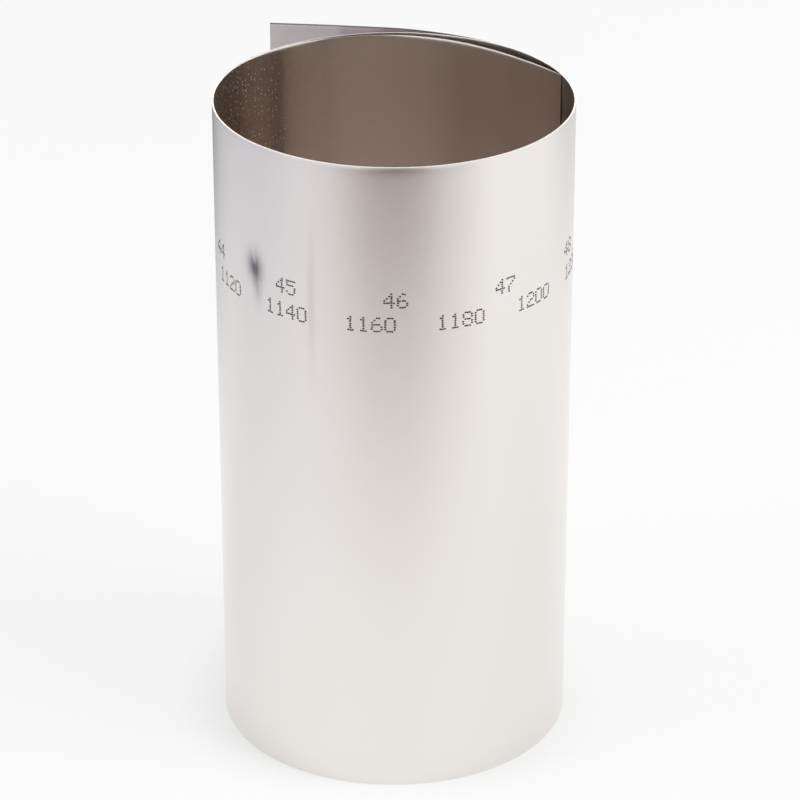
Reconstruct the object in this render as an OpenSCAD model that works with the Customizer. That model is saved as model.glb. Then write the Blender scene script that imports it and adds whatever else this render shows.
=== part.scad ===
// A roll of thin stainless shim stock, standing on its end as it is stored.
// One sheet is wound into a few tight turns about an open bore. Its inner end springs
// off the wall as a lap, and its outer end springs away from the roll as a tail.
// Millimetres, +Z up, with the roll's axis at the origin and its lower end at Z = 0.
// Angles are counted anticlockwise, seen from above, from +X at the roll's right.

/* [Sheet] */
// Width of the sheet, which is the height of the standing roll
sheet_width = 152.4; // [100:0.1:200]
// Thickness of the sheet
sheet_thickness = 0.051; // [0.025:0.001:0.127]

/* [Turns] */
// Diameter over the outermost turn
roll_diameter = 80; // [70:0.5:90]
// Times that the sheet passes round, its two free ends included
turns = 5; // [2:1:8]
// Air between one turn and the next
turn_air = 0.022; // [0.02:0.001:0.1]

/* [Inner lap] */
// Angle at which the lap lifts off the innermost turn
lap_lifts_at = 150; // [140:5:160]
// How much tighter the bend is by which it lifts, taken off the turn's radius
lap_bend_tightening = 3; // [2:0.1:4]
// Angle that this bend sweeps
lap_bend_angle = 95.4; // [85:0.2:100]
// Radius of the flatter stretch from the bend to the tip
lap_flat_radius = 82.5; // [75:0.1:95]
// Air between the tip and the wall that it springs back to
lap_tip_air = 0.1; // [0.1:0.05:1]

/* [Outer tail] */
// Angle at which the tail starts to leave the outermost turn
tail_leaves_at = 50; // [40:5:60]
// How much slacker the bend is by which it leaves, added to the turn's radius
tail_bend_slackening = 15.9; // [10:0.1:20]
// Angle that this bend sweeps
tail_bend_angle = 31.7; // [25:0.1:40]
// Radius of the almost flat stretch from the bend to the tip
tail_flat_radius = 457; // [300:1:600]
// Length of that stretch
tail_flat_length = 26.5; // [10:0.1:35]

/* [Hidden] */

// The turns are drawn with flat sides that line up from each turn to the next, so that
// the air between them stays even. The lap has sides of that length, and the tail, which
// bends away from the turn beneath it, has sides of half that length.
sides_per_turn = 72;
side_angle = 360 / sides_per_turn;
lap_side = PI * roll_diameter / sides_per_turn;
tail_side = lap_side / 2;
degrees_per_radian = 180 / PI;

// Radii run to the middle of the sheet's thickness
turn_pitch = sheet_thickness + turn_air;
wall_sweep = tail_leaves_at + 360 * turns - lap_lifts_at;
wall_sides = ceil(wall_sweep / side_angle);
outer_radius = (roll_diameter - sheet_thickness) / 2;
inner_radius = outer_radius - turn_pitch * wall_sweep / 360;

// The lap: a tight bend about a centre inside the wall, then a flatter stretch
lap_bend_radius = inner_radius - lap_bend_tightening;
lap_joint_at = lap_lifts_at - lap_bend_angle;
lap_bend_centre = polar(lap_bend_tightening, lap_lifts_at);
lap_flat_centre = lap_bend_centre + polar(lap_bend_radius - lap_flat_radius, lap_joint_at);

// The flatter stretch ends where it meets the wall again, less the air at its tip
lap_tip_radius = inner_radius - sheet_thickness - lap_tip_air;
lap_centre_off = norm(lap_flat_centre);
lap_tip_cosine = (lap_tip_radius ^ 2 - lap_centre_off ^ 2 - lap_flat_radius ^ 2)
    / (2 * lap_centre_off * lap_flat_radius);
lap_tip_at = atan2(lap_flat_centre.y, lap_flat_centre.x) + acos(lap_tip_cosine);

// The tail: a slack bend that leaves the outermost turn, then an almost flat stretch
tail_bend_radius = outer_radius + tail_bend_slackening;
tail_joint_at = tail_leaves_at + tail_bend_angle;
tail_tip_at = tail_joint_at + tail_flat_length / tail_flat_radius * degrees_per_radian;
tail_bend_centre = polar(-tail_bend_slackening, tail_leaves_at);
tail_flat_centre = tail_bend_centre + polar(tail_bend_radius - tail_flat_radius, tail_joint_at);

function polar(radius, angle) = radius * [cos(angle), sin(angle)];
function reversed(list) = [for (i = [len(list) - 1 : -1 : 0]) list[i]];

// A station is a point on the middle of the sheet and the angle that its outer face looks to
function station(centre, radius, angle) =
    let (point = centre + polar(radius, angle))
    [point.x, point.y, angle];

// Stations along an arc, in sides of about the length given, without the one at its end
function arc(centre, radius, from, to, side) =
    let (
        sides = ceil(radius * (to - from) / degrees_per_radian / side),
        step = (to - from) / sides
    )
    [for (i = [0 : sides - 1]) station(centre, radius, from + i * step)];

// Stations along the turns, which grow by one pitch each time round
function wall() =
    [for (i = [0 : wall_sides - 1])
        station([0, 0], inner_radius + turn_pitch * i / sides_per_turn, lap_lifts_at + i * side_angle)];

stations = concat(
    arc(lap_flat_centre, lap_flat_radius, lap_tip_at, lap_joint_at, lap_side),
    arc(lap_bend_centre, lap_bend_radius, lap_joint_at, lap_lifts_at, lap_side),
    wall(),
    arc(tail_bend_centre, tail_bend_radius, tail_leaves_at, tail_joint_at, tail_side),
    arc(tail_flat_centre, tail_flat_radius, tail_joint_at, tail_tip_at, tail_side),
    [station(tail_flat_centre, tail_flat_radius, tail_tip_at)]
);

// One face of the sheet, seen on its edge
function face(offset) = [for (s = stations) [s.x, s.y] + polar(offset, s.z)];

module shim_sheet() {
    color("silver")
        linear_extrude(sheet_width)
            polygon(concat(face(sheet_thickness / 2), reversed(face(-sheet_thickness / 2))));
}

shim_sheet();
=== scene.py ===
import math

import bpy
import numpy as np
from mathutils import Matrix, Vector


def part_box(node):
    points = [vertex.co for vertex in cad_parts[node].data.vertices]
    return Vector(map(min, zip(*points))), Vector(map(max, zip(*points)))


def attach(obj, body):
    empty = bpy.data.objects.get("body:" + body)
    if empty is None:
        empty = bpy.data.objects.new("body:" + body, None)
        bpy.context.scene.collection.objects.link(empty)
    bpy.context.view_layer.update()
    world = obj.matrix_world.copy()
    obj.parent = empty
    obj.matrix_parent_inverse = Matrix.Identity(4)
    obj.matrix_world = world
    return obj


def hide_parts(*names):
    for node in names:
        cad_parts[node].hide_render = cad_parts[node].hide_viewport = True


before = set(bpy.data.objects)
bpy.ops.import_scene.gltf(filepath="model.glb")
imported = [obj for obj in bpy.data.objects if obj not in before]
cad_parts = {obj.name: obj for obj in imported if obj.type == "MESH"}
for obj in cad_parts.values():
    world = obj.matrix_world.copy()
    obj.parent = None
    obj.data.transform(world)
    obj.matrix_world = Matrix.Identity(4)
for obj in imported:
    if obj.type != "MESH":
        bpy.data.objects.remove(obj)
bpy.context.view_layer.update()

# The shim sheet
# One strip of bright cold-rolled stainless steel, slit to width and wound by hand into a few
# tight turns. Nothing ties it, so its inner end springs off the wall as a lap and its outer
# end springs away from the roll as a tail.
sheet_low, sheet_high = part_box("shim_sheet")
sheet_width = sheet_high.z - sheet_low.z
sheet_thickness = 0.000051
roll_diameter = 0.080
turns = 5
turn_air = 0.000022

lap_lifts_at = math.radians(150)
lap_bend_tightening = 0.0030
lap_bend_angle = math.radians(95.4)
lap_flat_radius = 0.0825
lap_tip_air = 0.0001

tail_leaves_at = math.radians(50)
tail_bend_slackening = 0.0159
tail_bend_angle = math.radians(31.7)
tail_flat_radius = 0.457
tail_flat_length = 0.0265

full_turn = 2 * math.pi
sides_per_turn = 240
side_angle = full_turn / sides_per_turn
free_end_side = 0.0009

turn_pitch = sheet_thickness + turn_air
wall_sweep = tail_leaves_at + full_turn * turns - lap_lifts_at
outer_radius = (roll_diameter - sheet_thickness) / 2
inner_radius = outer_radius - turn_pitch * wall_sweep / full_turn


def polar(radius, angle):
    return radius * np.array([math.cos(angle), math.sin(angle)])


def along_arc(centre, radius, start, end):
    """Points on the middle of the sheet along an arc, each with the angle its outer face looks to."""
    sides = math.ceil(radius * (end - start) / free_end_side)
    angles = np.linspace(start, end, sides, endpoint=False)
    x = centre[0] + radius * np.cos(angles)
    y = centre[1] + radius * np.sin(angles)
    return np.column_stack([x, y, angles])


# The lap: a tight bend about a centre inside the wall, then a flatter stretch back to the wall
lap_bend_radius = inner_radius - lap_bend_tightening
lap_joint_at = lap_lifts_at - lap_bend_angle
lap_bend_centre = polar(lap_bend_tightening, lap_lifts_at)
lap_flat_centre = lap_bend_centre + polar(lap_bend_radius - lap_flat_radius, lap_joint_at)
lap_tip_radius = inner_radius - sheet_thickness - lap_tip_air
lap_centre_off = np.linalg.norm(lap_flat_centre)
lap_tip_cosine = (lap_tip_radius ** 2 - lap_centre_off ** 2 - lap_flat_radius ** 2) / (
    2 * lap_centre_off * lap_flat_radius
)
lap_tip_at = math.atan2(lap_flat_centre[1], lap_flat_centre[0]) + math.acos(lap_tip_cosine)

# The turns, which grow by one pitch each time round
wall_angles = lap_lifts_at + side_angle * np.arange(math.ceil(wall_sweep / side_angle))
wall_radii = inner_radius + turn_pitch * (wall_angles - lap_lifts_at) / full_turn
wall = np.column_stack([wall_radii * np.cos(wall_angles), wall_radii * np.sin(wall_angles), wall_angles])

# The tail: a slack bend that leaves the outermost turn, then an almost flat stretch
tail_bend_radius = outer_radius + tail_bend_slackening
tail_joint_at = tail_leaves_at + tail_bend_angle
tail_tip_at = tail_joint_at + tail_flat_length / tail_flat_radius
tail_bend_centre = polar(-tail_bend_slackening, tail_leaves_at)
tail_flat_centre = tail_bend_centre + polar(tail_bend_radius - tail_flat_radius, tail_joint_at)
tail_tip = tail_flat_centre + polar(tail_flat_radius, tail_tip_at)

stations = np.vstack([
    along_arc(lap_flat_centre, lap_flat_radius, lap_tip_at, lap_joint_at),
    along_arc(lap_bend_centre, lap_bend_radius, lap_joint_at, lap_lifts_at),
    wall,
    along_arc(tail_bend_centre, tail_bend_radius, tail_leaves_at, tail_joint_at),
    along_arc(tail_flat_centre, tail_flat_radius, tail_joint_at, tail_tip_at),
    [[*tail_tip, tail_tip_at]],
])
middle = stations[:, :2]
outward = np.column_stack([np.cos(stations[:, 2]), np.sin(stations[:, 2])])
along = np.concatenate([[0], np.cumsum(np.linalg.norm(np.diff(middle, axis=0), axis=1))])
sheet_length = along[-1]
winding_angle = np.unwrap(stations[:, 2])


def along_at(turn, degrees):
    """Metres from the inner end to where a turn, counted from the lap, passes a bearing."""
    return float(np.interp(math.radians(degrees) + full_turn * turn, winding_angle, along))


# A sheet wound by hand isn't a true cylinder: it has faint flats that run up the wall, the
# same in every turn
flat_depths = ((7, 0.00002, 0.4), (11, 0.00002, 2.1), (17, 0.000012, 5.0), (29, 0.000004, 1.3))
bearing = np.arctan2(middle[:, 1], middle[:, 0])
flats = sum(depth * np.cos(count * bearing + phase) for count, depth, phase in flat_depths)
radial = middle / np.linalg.norm(middle, axis=1)[:, None]
middle = middle + radial * flats[:, None]

# Its slit edges lean back by a hair, in at the front and out at the back. They lean most at
# the back left and where the lap stands clear of the wall, and between the two they are
# straight. The tail has a lean of its own.
lean_front, lean_back, lean_tail = 0.00016, 0.00015, 0.00016
left_lean, left_at, left_half_angle = 0.00012, math.radians(125), math.radians(16)
lap_lean, lap_clear_at = 0.00007, 0.0006
straight_at, straight_half_angle = math.radians(103), math.radians(18)
reach_front, reach_back = 0.0009, 0.0005
tail_change = 0.010
lean_reach = np.where(bearing > 0, reach_back, reach_front)
clear_of_wall = np.clip(inner_radius - np.linalg.norm(middle, axis=1), 0, None)
roll_lean = np.sin(bearing) * np.where(bearing > 0, lean_back, lean_front)
roll_lean += left_lean * np.exp(-((bearing - left_at) / left_half_angle) ** 2)
roll_lean += lap_lean * (1 - np.exp(-clear_of_wall / lap_clear_at))
roll_lean *= 1 - np.exp(-((bearing - straight_at) / straight_half_angle) ** 2)
tail_start = np.interp(tail_leaves_at + full_turn * turns, winding_angle, along)
tail_share = np.clip((along - tail_start) / tail_change, 0, 1)
edge_lean = (1 - tail_share) * roll_lean + tail_share * lean_tail * np.sin(bearing)

# The rows of points up the sheet, close together at the edges where it leans
edge_rows = 0.001 * np.array([0, 0.15, 0.3, 0.5, 0.75, 1.05, 1.45, 2, 2.8, 4.2, 7, 14, 32, 55])
heights = np.concatenate([edge_rows, [sheet_width / 2], sheet_width - edge_rows[::-1]])

# The edge wandered up and down in the winding, so the turns aren't quite level at the ends
edge_wander = 0.00008
short_wave, long_wave, long_wave_phase = 0.071, 0.187, 1.0
waves = np.sin(along / short_wave) + np.sin(along / long_wave + long_wave_phase)
wander = edge_wander * waves / 2


def sheet_face(offset):
    """The points of one face of the sheet, row by row from the lower end."""
    rows = []
    for height in heights:
        to_edge = min(height, sheet_width - height)
        leaning = edge_lean * np.exp(-to_edge / lean_reach)
        plan = middle + outward * (offset + leaning)[:, None]
        rows.append(np.column_stack([plan, np.clip(height + wander, 0, sheet_width)]))
    return np.vstack(rows)


columns = len(middle)
rows = len(heights)
points = np.vstack([sheet_face(sheet_thickness / 2), sheet_face(-sheet_thickness / 2)])
number = np.arange(2 * rows * columns).reshape(2, rows, columns)


def quads(a, b, c, d):
    return np.column_stack([a.ravel(), b.ravel(), c.ravel(), d.ravel()])


outer, inner = number
faces = np.vstack([
    quads(outer[:-1, :-1], outer[:-1, 1:], outer[1:, 1:], outer[1:, :-1]),
    quads(inner[:-1, 1:], inner[:-1, :-1], inner[1:, :-1], inner[1:, 1:]),
    quads(outer[-1, :-1], outer[-1, 1:], inner[-1, 1:], inner[-1, :-1]),
    quads(inner[0, :-1], inner[0, 1:], outer[0, 1:], outer[0, :-1]),
    quads(inner[:-1, 0], outer[:-1, 0], outer[1:, 0], inner[1:, 0]),
    quads(outer[:-1, -1], inner[:-1, -1], inner[1:, -1], outer[1:, -1]),
])
sheet_mesh = bpy.data.meshes.new("shim_sheet_wound")
sheet_mesh.from_pydata(points.tolist(), [], faces.tolist())
sheet_mesh.shade_smooth()
sheet_mesh.set_sharp_from_angle(angle=math.radians(40))

# Each point's place on the unrolled sheet: metres from the inner end, and metres up
place = np.column_stack([np.tile(along, 2 * rows), points[:, 2]])
corner_points = np.empty(len(sheet_mesh.loops), dtype=np.int32)
sheet_mesh.loops.foreach_get("vertex_index", corner_points)
corner_places = place[corner_points].astype(np.float32)
sheet_mesh.uv_layers.new(name="sheet").uv.foreach_set("vector", corner_places.ravel())
inside = np.repeat([0.0, 1.0], rows * columns).astype(np.float32)
sheet_mesh.attributes.new("inner_face", "FLOAT", "POINT").data.foreach_set("value", inside)

# The faces laid out flat in a grid, for the finish to be painted on: each side of the sheet
# in five lengths, then its slit edges, then its two ends
lengths = 5
grid_across, grid_up, cell_margin, strip_margin = 3, 4, 0.02, 0.1
walls, edges, ends = (rows - 1) * (columns - 1), columns - 1, rows - 1
on_edge = np.repeat([False, True, False], [2 * walls, 2 * edges, 2 * ends])[:, None]
on_end = np.repeat([False, True], [2 * walls + 2 * edges, 2 * ends])[:, None]
column = faces % columns
row = faces // columns % rows
side = faces // (columns * rows)
which_length = np.minimum(column.min(axis=1) * lengths // edges, lengths - 1)[:, None]
run = column * lengths / edges - which_length
rise = (heights[row] / sheet_width + row / ends) / 2
thickness_share = strip_margin + (1 - 2 * strip_margin) * side
wall_cell = lengths * side + which_length
cell = np.where(on_end, 2 * lengths + 1, np.where(on_edge, 2 * lengths, wall_cell))
cell_u = np.where(on_end, ((column > 0) + thickness_share) / 2, run)
cell_v = np.where(on_edge, (2 * which_length + (row > 0) + thickness_share) / (2 * lengths), rise)
laid_out = np.stack([
    (cell % grid_across + cell_margin + (1 - 2 * cell_margin) * cell_u) / grid_across,
    (cell // grid_across + cell_margin + (1 - 2 * cell_margin) * cell_v) / grid_up,
], axis=-1)
sheet_mesh.uv_layers.new(name="OFBake").uv.foreach_set("vector", laid_out.astype(np.float32).ravel())

shim_sheet = bpy.data.objects.new("shim_sheet_wound", sheet_mesh)
bpy.context.scene.collection.objects.link(shim_sheet)


class Shade:
    """A socket of a node tree. Sums on it add the nodes that work them out."""

    def __init__(self, tree, socket=None):
        self.tree = tree
        self.socket = socket

    def node(self, kind, settings, sockets, output=0):
        """A new node, with its settings made first and its sockets then set or linked."""
        new = self.tree.nodes.new("ShaderNode" + kind)
        for name, value in settings.items():
            setattr(new, name, value)
        for name, value in sockets.items():
            if isinstance(value, Shade):
                self.tree.links.new(value.socket, new.inputs[name])
            else:
                new.inputs[name].default_value = value
        return Shade(self.tree, new.outputs[output])

    def maths(self, operation, first, second):
        return self.node("Math", {"operation": operation}, {0: first, 1: second})

    def __add__(self, other):
        return self.maths("ADD", self, other)

    def __radd__(self, other):
        return self.maths("ADD", other, self)

    def __sub__(self, other):
        return self.maths("SUBTRACT", self, other)

    def __rsub__(self, other):
        return self.maths("SUBTRACT", other, self)

    def __mul__(self, other):
        return self.maths("MULTIPLY", self, other)

    def __rmul__(self, other):
        return self.maths("MULTIPLY", other, self)

    def __gt__(self, other):
        return self.maths("GREATER_THAN", self, other)

    def __lt__(self, other):
        return self.maths("LESS_THAN", self, other)


def new_finish(name, **constants):
    """A material and its shader, with what is the same all over set on the shader's own sockets."""
    material = bpy.data.materials.new(name)
    material.use_nodes = True
    shader = material.node_tree.nodes["Principled BSDF"]
    for socket, value in constants.items():
        shader.inputs[socket.replace("_", " ")].default_value = value
    return material, shader, Shade(material.node_tree)


def feed(shader, **varying):
    """Links what changes over the surface to the shader."""
    for socket, value in varying.items():
        value.tree.links.new(value.socket, shader.inputs[socket.replace("_", " ")])


outer_colour = (0.84, 0.81, 0.785, 1)
# Painted shade: the inner face is the outer steel painted darker and browner, for the dim bore
shaded_bore_colour = (0.78, 0.723, 0.681, 1)
# Painted shade: the outer end's inner face, facing the roll across the gap, is greyer still
shaded_tail_colour = (0.66, 0.62, 0.625, 1)
dust_colour = (0.60, 0.58, 0.54, 1)
# The ink smear's colour, also used for a dark streak beside it that is a painted reflection
smear_and_painted_streak_colour = (0.16, 0.15, 0.18, 1)
# Painted shade: a dark line inside the slit edges of the outer end
edge_shade_colour = (0.20, 0.19, 0.20, 1)

stainless, steel_shader, steel = new_finish("bright_stainless", Anisotropic=0.8, Anisotropic_Rotation=0.25)
on_sheet = steel.node("UVMap", {"uv_map": "sheet"}, {})
far = steel.node("SeparateXYZ", {}, {"Vector": on_sheet}, "X")
high = steel.node("SeparateXYZ", {}, {"Vector": on_sheet}, "Y")
inner_side = steel.node("Attribute", {"attribute_name": "inner_face"}, {}, "Fac")


def ramp(value, start, end):
    """Nought below the start and one past the end, smooth between them."""
    limits = {"Value": value, "From Min": start, "From Max": end}
    return value.node("MapRange", {"interpolation_type": "SMOOTHSTEP"}, limits)


def blot(at, height, half_length, half_height):
    """A soft round mark at a place on the sheet, one in its middle."""
    across = (far - at) * (1 / half_length)
    up = (high - height) * (1 / half_height)
    return steel.node("Math", {"operation": "EXPONENT"}, {0: -1 * (across * across + up * up)})


def blended(first, second, share):
    """Two colours in one, with the share of the second."""
    return share.node("Mix", {"data_type": "RGBA"}, {0: share, 6: first, 7: second}, 2)


# Rolling leaves fine lines along the sheet, and handling leaves faint cloudy patches
rolling = steel.node("Mapping", {}, {"Vector": on_sheet, "Scale": (6, 1400, 1)})
rolling_lines = steel.node("TexNoise", {}, {"Vector": rolling, "Scale": 1.0, "Detail": 3.0})
handled = steel.node("TexNoise", {}, {"Vector": on_sheet, "Scale": 28.0, "Detail": 4.0})

# Pale dust clings to the left of the bore, a speck in some of the cells of a fine mesh
speck_radius, empty_share, dust_cover = 0.12, 0.70, 0.36
dust_cells = {"Vector": on_sheet, "Scale": 900.0}
speck = steel.node("TexVoronoi", {"voronoi_dimensions": "2D"}, dust_cells, "Distance") < speck_radius
cell_colour = steel.node("TexVoronoi", {"voronoi_dimensions": "2D"}, dust_cells, "Color")
chosen = steel.node("SeparateColor", {}, {"Color": cell_colour}, "Red") > empty_share
dusty = ramp(far, along_at(0, 105), along_at(0, 150)) - ramp(far, along_at(0, 200), along_at(0, 240))
dust = dust_cover * speck * chosen * dusty * inner_side

# Ink was smeared down the sheet at the left of the front, and beside it a faint dark streak runs down,
# which is a painted reflection
smear = blot(along_at(turns, -139.3), height=0.1237, half_length=0.0023, half_height=0.0032)
smear_tail = blot(along_at(turns, -137.9), height=0.1194, half_length=0.0014, half_height=0.0038)
painted_streak = blot(along_at(turns, -116.6), height=0.1200, half_length=0.0010, half_height=0.0130)
tail_cover, painted_streak_cover = 0.42, 0.16
wiping = steel.node("Mapping", {}, {"Vector": on_sheet, "Scale": (1100, 130, 1)})
wiped = steel.node("TexNoise", {}, {"Vector": wiping, "Scale": 1.0, "Detail": 2.0})
smear_and_painted_streak = ramp(wiped, 0.05, 0.50) * (smear + tail_cover * smear_tail) + painted_streak_cover * painted_streak

# A dark line is painted inside the slit edges of the sheet's outer end, as painted shade under its rim, and
# that end is painted greyer too, as painted shade where it faces the roll across the gap
outer_end_from, outer_end_full = 0.95, 1.15
edge_shade_full, edge_shade_gone = 0.00020, 0.00045
from_edge = steel.maths("MINIMUM", high, sheet_width - high)
at_tail = ramp(far, outer_end_from, outer_end_full)
painted_edge_shade = inner_side * at_tail * (1 - ramp(from_edge, edge_shade_full, edge_shade_gone))

shaded_inner_colour = blended(shaded_bore_colour, shaded_tail_colour, at_tail)
face_colour = blended(outer_colour, shaded_inner_colour, inner_side)
edge_shaded = blended(face_colour, edge_shade_colour, painted_edge_shade)
dusted = blended(edge_shaded, dust_colour, dust)
feed(
    steel_shader,
    Base_Color=blended(dusted, smear_and_painted_streak_colour, smear_and_painted_streak),
    Metallic=1 - dust - 0.6 * smear_and_painted_streak,
    Roughness=0.15 + 0.03 * rolling_lines + 0.04 * handled + 0.5 * dust + 0.2 * smear_and_painted_streak,
    Normal=steel.node("Bump", {}, {"Height": rolling_lines, "Strength": 0.03, "Distance": 0.00002}),
)
sheet_mesh.materials.append(stainless)

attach(shim_sheet, "root")
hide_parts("shim_sheet")

# The length marks
# Two lines of plain numbers, inches above and millimetres below, counted from the inner
# end. An ink jet sprayed them dot by dot as the sheet was slit, so the ink lies on the steel.
digit_dots = {
    "0": ".###. #...# #...# #...# #...# #...# .###.",
    "1": "..#.. .##.. ..#.. ..#.. ..#.. ..#.. .###.",
    "2": ".###. #...# ....# ..##. .#... #.... #####",
    "3": ".###. #...# ....# ..##. ....# #...# .###.",
    "4": "...#. ..##. .#.#. #..#. ##### ...#. ...#.",
    "5": "##### #.... ####. ....# ....# #...# .###.",
    "6": "..##. .#... #.... ####. #...# #...# .###.",
    "7": "##### ....# ...#. ..#.. .#... .#... .#...",
    "8": ".###. #...# #...# .###. #...# #...# .###.",
    "9": ".###. #...# #...# .#### ....# ...#. .##..",
}
dot_rows = 7
dot_pitch_along, dot_pitch_up = 0.00050, 0.00052
dot_length, dot_height = 0.00056, 0.00046
dot_sides = 8
dot_jitter, jitter_seed = 0.00003, 5
digit_pitch = 0.00286
ink_proud = 0.000012
ink_sunk = 0.000010
marks_start = along_at(turns - 1, 60)
bare_end = 0.004
marks_end = sheet_length - bare_end
# Each line: metres to one step, what the number counts up by at a step, and the digits' foot
marked_lines = ((0.0254, 1, 0.1201), (0.020, 20, 0.1144))

dots = []
for step, counts_by, foot in marked_lines:
    for count in range(math.ceil(marks_start / step), math.ceil(marks_end / step)):
        digits = str(count * counts_by)
        if count * step + len(digits) * digit_pitch > marks_end:
            continue
        for position, digit in enumerate(digits):
            for row, line in enumerate(digit_dots[digit].split()):
                for column, dot in enumerate(line):
                    if dot == "#":
                        dot_along = count * step + position * digit_pitch + column * dot_pitch_along
                        dots.append((dot_along, foot + (dot_rows - 1 - row) * dot_pitch_up))
jitter = np.random.default_rng(jitter_seed).standard_normal((len(dots), 2))
dots = np.array(dots) + dot_jitter * jitter

rim_angles = full_turn * np.arange(dot_sides) / dot_sides
rim_along = dots[:, :1] + dot_length / 2 * np.cos(rim_angles)
rim_up = dots[:, 1:] + dot_height / 2 * np.sin(rim_angles)


def ink_points(proud):
    """The rims of all dots, at a height over the sheet's outer face."""
    plan = [
        np.interp(rim_along, along, middle[:, axis])
        + (sheet_thickness / 2 + proud) * np.interp(rim_along, along, outward[:, axis])
        for axis in (0, 1)
    ]
    return np.stack([*plan, rim_up], axis=-1).reshape(-1, 3)


top_rims = np.arange(len(dots) * dot_sides).reshape(-1, dot_sides)
foot_rims = top_rims + top_rims.size
next_side = np.roll(np.arange(dot_sides), -1)
ink_faces = [
    *top_rims.tolist(),
    *foot_rims[:, ::-1].tolist(),
    *quads(top_rims, foot_rims, foot_rims[:, next_side], top_rims[:, next_side]).tolist(),
]
ink_mesh = bpy.data.meshes.new("length_marks")
ink_mesh.from_pydata(np.vstack([ink_points(ink_proud), ink_points(-ink_sunk)]).tolist(), [], ink_faces)
length_marks = bpy.data.objects.new("length_marks", ink_mesh)
bpy.context.scene.collection.objects.link(length_marks)

full_ink, thin_ink = (0.045, 0.038, 0.042, 1), (0.14, 0.125, 0.13, 1)
ink, ink_shader, inked = new_finish("marking_ink")
ink_place = inked.node("TexCoord", {}, {}, "Object")
ink_cover = inked.node("TexNoise", {}, {"Vector": ink_place, "Scale": 160.0, "Detail": 3.0})
feed(
    ink_shader,
    Base_Color=blended(full_ink, thin_ink, ramp(ink_cover, 0.35, 0.75)),
    Roughness=0.42 + 0.25 * ink_cover,
)
ink_mesh.materials.append(ink)

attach(length_marks, "root")

# The floor
# A plain white table top that the roll stands on. It takes the roll's shadow, and what is
# seen of it, straight or in the steel, is lifted towards the white of the backdrop.
floor_reach = 3.0
corners = ((-1, -1), (1, -1), (1, 1), (-1, 1))
floor_mesh = bpy.data.meshes.new("floor")
floor_mesh.from_pydata([(x * floor_reach, y * floor_reach, 0) for x, y in corners], [], [(0, 1, 2, 3)])
floor = bpy.data.objects.new("floor", floor_mesh)
bpy.context.scene.collection.objects.link(floor)
floor_lift = 0.7
floor_colour = (0.92, 0.92, 0.92, 1)
floor_finish, floor_shader, floor_shade = new_finish("white_table", Base_Color=floor_colour, Roughness=0.8)


def shown_ray(shade):
    """One where a ray comes from the camera, a reflection or clear glass, and nought elsewhere."""
    kinds = ("Camera", "Glossy", "Transmission")
    seen, mirrored, through = (shade.node("LightPath", {}, {}, "Is " + kind + " Ray") for kind in kinds)
    return seen + mirrored + through


def mixed(shade, first, second, share):
    """Two shaders in one, with the share of the second."""
    return shade.node("MixShader", {}, {0: share, 1: first, 2: second})


def shows(material, shader):
    """Makes a shader the one that the material shows."""
    output = material.node_tree.nodes["Material Output"]
    material.node_tree.links.new(shader.socket, output.inputs["Surface"])


table = Shade(floor_finish.node_tree, floor_shader.outputs[0])
white = floor_shade.node("Emission", {}, {"Color": (1, 1, 1, 1), "Strength": 1.0})
# Within 15 mm of the roll, in its bore, behind its tail and round its foot, ambient occlusion fades the
# lift: painted shade
in_the_open = floor_shade.node("AmbientOcclusion", {"samples": 4}, {"Distance": 0.015}, "AO")
shows(floor_finish, mixed(floor_shade, table, white, shown_ray(floor_shade) * floor_lift * in_the_open))
floor_mesh.materials.append(floor_finish)

# The studio
# Soft white light from all round, a large soft lamp on the right, a smaller one on the left
# and a wide one behind, which glints on the slit edges. Soft-edged dim cards stand for the
# rest of the room, which only the steel shows.
world = bpy.data.worlds.new("studio")
bpy.context.scene.world = world
world.use_nodes = True
surroundings = Shade(world.node_tree)
ambient = 0.6
strength = ambient + (1 - ambient) * shown_ray(surroundings)
backdrop = world.node_tree.nodes["Background"]
backdrop.inputs["Color"].default_value = (1, 1, 1, 1)
world.node_tree.links.new(strength.socket, backdrop.inputs["Strength"])

target = Vector((0, 0, sheet_width / 2))
for name, place_at, size, power in (
    ("key_lamp", (0.95, -0.35, 0.95), 0.9, 9.0),
    ("fill_lamp", (-1.0, -0.1, 0.9), 0.8, 4.0),
):
    lamp = bpy.data.lights.new(name, "AREA")
    lamp.energy = power
    lamp.size = size
    lamp_object = bpy.data.objects.new(name, lamp)
    lamp_object.location = place_at
    lamp_object.rotation_euler = (target - Vector(place_at)).to_track_quat("-Z", "Y").to_euler()
    lamp_object.visible_glossy = False
    bpy.context.scene.collection.objects.link(lamp_object)

rim_lamp = bpy.data.lights.new("rim_lamp", "AREA")
rim_lamp.shape = "RECTANGLE"
rim_lamp.size = 1.2
rim_lamp.size_y = 0.4
rim_lamp.energy = 2.2
rim_lamp.color = (1.0, 0.94, 0.90)
rim_lamp_object = bpy.data.objects.new("rim_lamp", rim_lamp)
rim_lamp_object.location = (0.0, 1.3, 0.68)
rim_lamp_object.rotation_euler = (target - rim_lamp_object.location).to_track_quat("-Z", "Y").to_euler()
rim_lamp_object.visible_diffuse = False
bpy.context.scene.collection.objects.link(rim_lamp_object)


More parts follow.
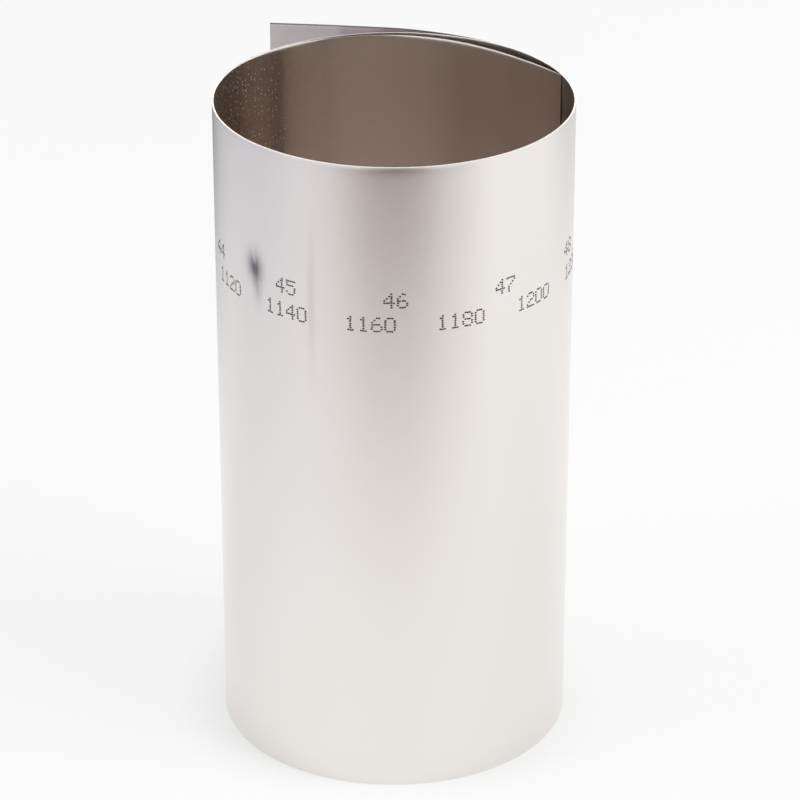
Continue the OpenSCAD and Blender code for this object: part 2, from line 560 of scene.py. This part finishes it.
def soft_card(name, centre, across, up, colour):
    """A card in the room that fades out towards its edges."""
    card_points = [tuple(Vector(centre) + s * Vector(across) + t * Vector(up)) for s, t in corners]
    card_mesh = bpy.data.meshes.new(name)
    card_mesh.from_pydata(card_points, [], [(0, 1, 2, 3)])
    card_mesh.uv_layers.new(name="card").uv.foreach_set("vector", [v for corner in corners for v in corner])
    finish, shader, shade = new_finish(name)
    on_card = shade.node("UVMap", {"uv_map": "card"}, {})
    fade = shade.node("TexGradient", {"gradient_type": "SPHERICAL"}, {"Vector": on_card}, "Fac")
    clear = shade.node("BsdfTransparent", {}, {})
    glow = shade.node("Emission", {}, {"Color": (*colour, 1), "Strength": 1.0})
    shows(finish, mixed(shade, clear, glow, ramp(fade, 0, 1)))
    card_mesh.materials.append(finish)
    card = bpy.data.objects.new(name, card_mesh)
    bpy.context.scene.collection.objects.link(card)
    card.visible_camera = False
    card.visible_diffuse = False
    card.visible_shadow = False


soft_card("dim_front", (-0.005, -0.62, 0.001), (0.74, 0, 0), (0, 0.55, 0), (0.18, 0.08, 0.065))
soft_card("dim_left", (-0.58, 0.10, 0.002), (0.58, 0, 0), (0, 1.00, 0), (0.62, 0.60, 0.67))
soft_card("dim_back_left", (-0.42, 0.50, 0.003), (0.40, 0, 0), (0, 0.45, 0), (0.40, 0.41, 0.44))
soft_card("dim_back", (-0.10, 0.45, 0.004), (0.32, 0, 0), (0, 0.38, 0), (0.22, 0.21, 0.22))
soft_card("dim_back_right", (0.34, 0.52, 0.005), (0.42, 0, 0), (0, 0.46, 0), (0.55, 0.54, 0.54))
soft_card("dark_camera", (0.02, -0.62, 0.0), (0.30, 0, 0), (0, 0, 0.22), (0.02, 0.015, 0.018))

# The camera
# It stands about three quarters of a metre in front of the roll and looks down on it through a
# long lens. The steel's reflections of itself need many bounces of light.
camera_data = bpy.data.cameras.new("camera")
camera_data.sensor_width = 36.0
camera_data.lens = 167.53
camera = bpy.data.objects.new("camera", camera_data)
camera.location = (-0.00171, -0.76105, 0.45688)
camera_pitch = 0.46170
camera_yaw = 0.00401
camera.rotation_euler = (math.pi / 2 - camera_pitch, 0, -camera_yaw)
bpy.context.scene.collection.objects.link(camera)
bpy.context.scene.camera = camera
bpy.context.scene.view_settings.view_transform = "Standard"
bpy.context.scene.cycles.max_bounces = 24
bpy.context.scene.cycles.glossy_bounces = 24
